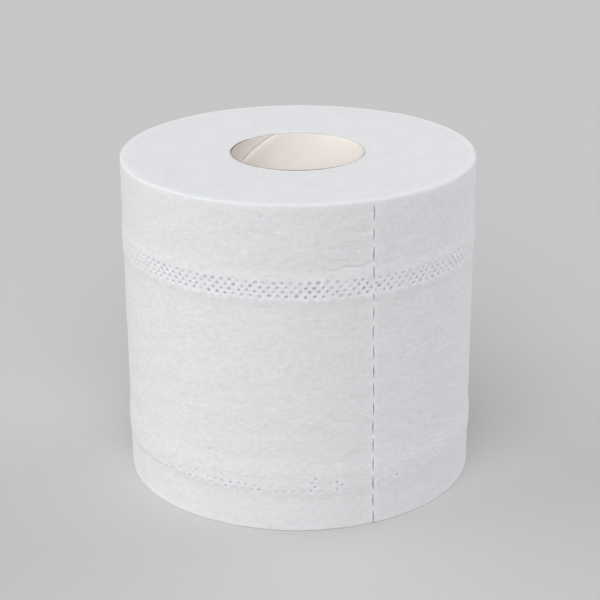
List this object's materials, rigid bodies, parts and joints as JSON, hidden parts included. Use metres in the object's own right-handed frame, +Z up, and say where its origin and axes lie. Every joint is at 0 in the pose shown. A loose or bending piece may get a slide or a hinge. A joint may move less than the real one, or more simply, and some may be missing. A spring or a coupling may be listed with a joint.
{
  "type": "toilet paper roll",
  "caption": "White tissue wound on an open board core, with embossed bands and perforated sheets; stands on its end or hangs on a holder's spindle.",
  "frame": {"origin": "middle of the lower end, on the core's axis", "axes": "+Z up along the core's axis, -Y towards the picture's viewer, +X to the viewer's right"},
  "size_m": [0.1073, 0.1071, 0.1],
  "materials": {
    "tissue": "matte, soft and slightly creped",
    "core_board": "matte, uncoated"
  },
  "bodies": {
    "root": {"paper_roll": "tissue", "cardboard_core": "core_board"}
  },
  "joints": []
}
